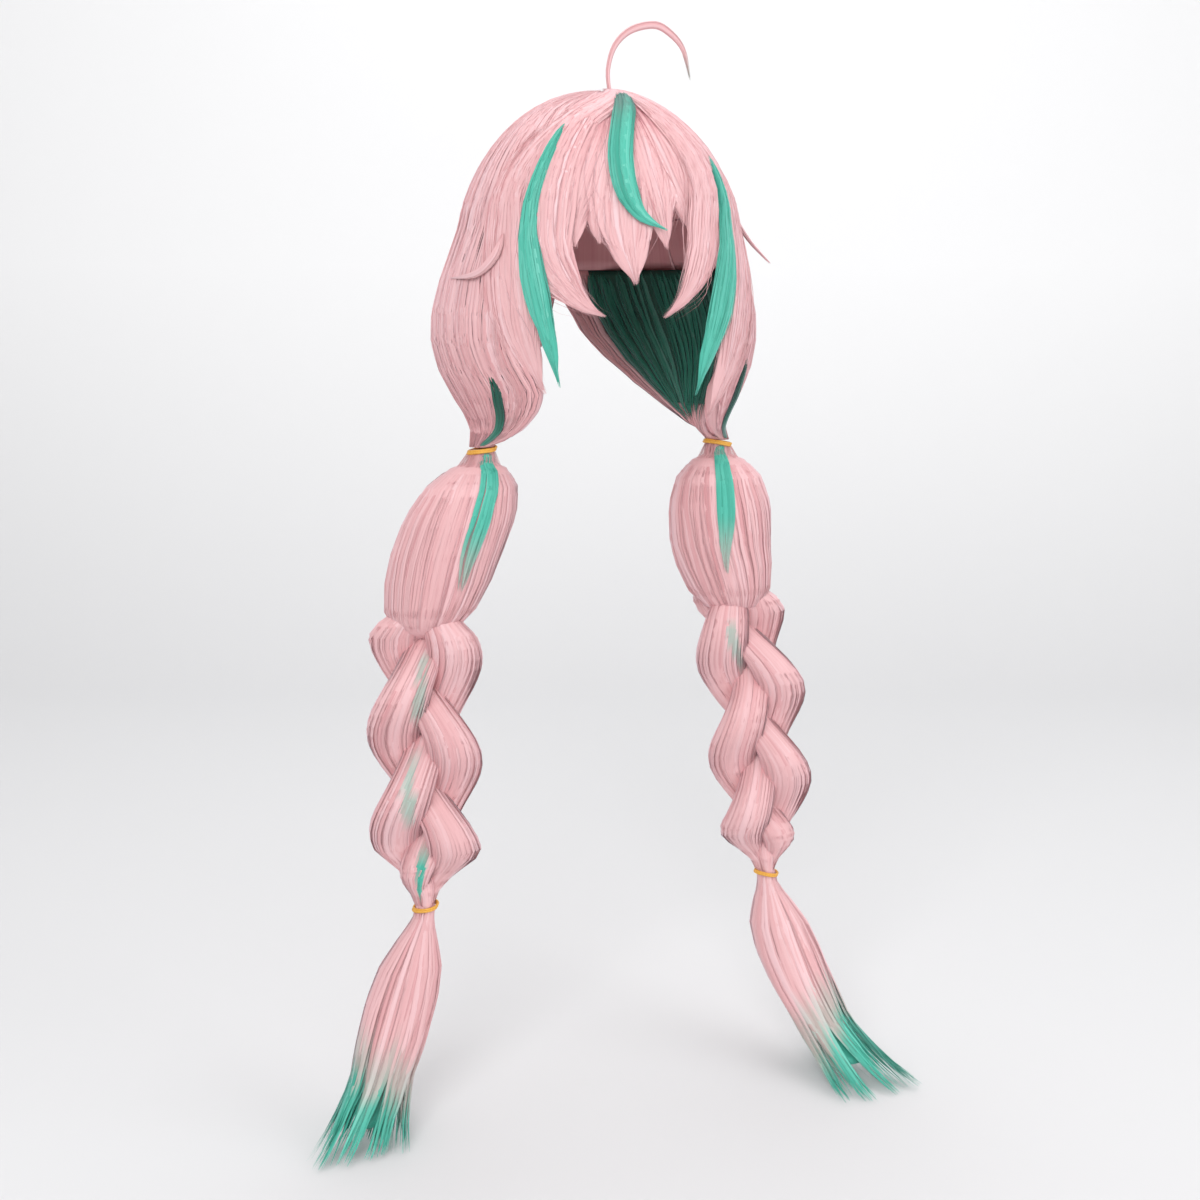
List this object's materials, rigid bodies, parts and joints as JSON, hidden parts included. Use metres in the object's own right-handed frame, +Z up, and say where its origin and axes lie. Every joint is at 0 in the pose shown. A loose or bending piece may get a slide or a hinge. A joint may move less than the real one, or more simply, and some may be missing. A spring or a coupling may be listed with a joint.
{
  "type": "braided wig",
  "caption": "Long braided wig: hollow crown of hair with fringe, face locks and curled antenna lock, and two low pigtails, each puffed, braided and left loose at its end.",
  "frame": {"origin": "inside top of the crown, where the top of the head sits", "axes": "+Z up, -Y to the front of the face, +X to the wearer's left"},
  "size_m": [0.5733, 0.2586, 1.0477],
  "materials": {
    "hair_pink": "smooth glossy synthetic hair, pale pink",
    "hair_teal": "smooth glossy synthetic hair, teal green",
    "hair_deep_teal": "smooth synthetic hair, deep teal",
    "elastic": "thin orange elastic, satin"
  },
  "bodies": {
    "root": {"crown_hair": "hair_pink", "antenna_lock": "hair_pink", "teal_forelock": "hair_teal", "right_teal_lock": "hair_teal", "left_teal_lock": "hair_teal", "right_face_lock": "hair_pink", "left_face_lock": "hair_pink", "fringe_lock_1": "hair_pink", "fringe_lock_2": "hair_pink", "fringe_lock_3": "hair_pink", "fringe_lock_4": "hair_pink", "fringe_lock_5": "hair_pink", "right_cheek_lock": "hair_pink", "left_cheek_lock": "hair_pink", "right_flick": "hair_pink", "left_flick": "hair_pink", "right_side_hair": "hair_pink", "right_nape_hair": "hair_deep_teal", "right_under_lock": "hair_deep_teal", "right_upper_band": "elastic", "right_bulge": "hair_pink", "right_bulge_streak": "hair_teal", "right_braid_strand_1": "hair_pink", "right_braid_strand_2": "hair_pink", "right_braid_strand_3": "hair_pink", "right_lower_band": "elastic", "right_tail": "hair_pink", "left_side_hair": "hair_pink", "left_nape_hair": "hair_deep_teal", "left_under_lock": "hair_deep_teal", "left_upper_band": "elastic", "left_bulge": "hair_pink", "left_bulge_streak": "hair_teal", "left_braid_strand_1": "hair_pink", "left_braid_strand_2": "hair_pink", "left_braid_strand_3": "hair_pink", "left_lower_band": "elastic", "left_tail": "hair_pink"}
  },
  "joints": []
}
